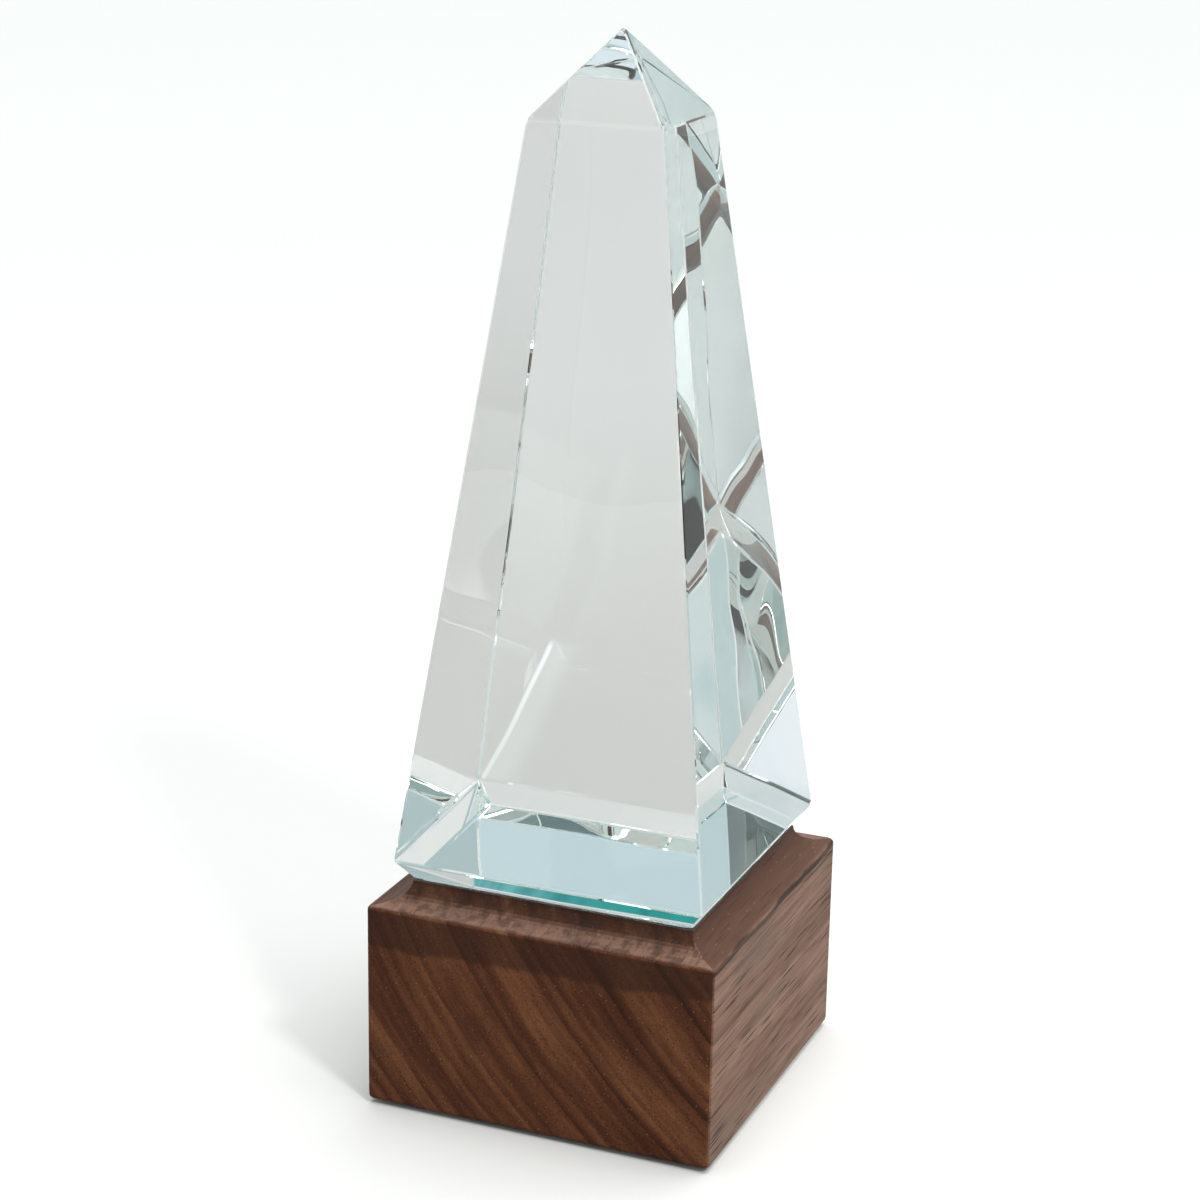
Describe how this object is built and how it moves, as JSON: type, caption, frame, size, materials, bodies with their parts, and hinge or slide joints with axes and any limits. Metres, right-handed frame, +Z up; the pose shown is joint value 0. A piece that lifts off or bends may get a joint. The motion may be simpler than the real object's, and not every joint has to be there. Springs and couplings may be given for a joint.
{
  "type": "crystal award",
  "caption": "Free-standing crystal award: a clear glass obelisk with a pyramid point and undercut foot, bonded on a solid walnut block with a coved top edge.",
  "frame": {"origin": "centre of the felt's underside, which is the plane the award stands on", "axes": "+Z up through the point of the obelisk; the front face of the block looks toward -Y; +X to the right of the front face"},
  "size_m": [0.0762, 0.0762, 0.2211],
  "materials": {
    "optical_crystal": "polished optical glass with a faint green cast",
    "white_bond": "white acrylic bonding tape",
    "walnut": "oiled black walnut, satin",
    "felt": "short-pile felt"
  },
  "bodies": {
    "root": {"crystal_obelisk": "optical_crystal", "bonding_pad": "white_bond", "walnut_base": "walnut", "felt_pad": "felt"}
  },
  "joints": []
}
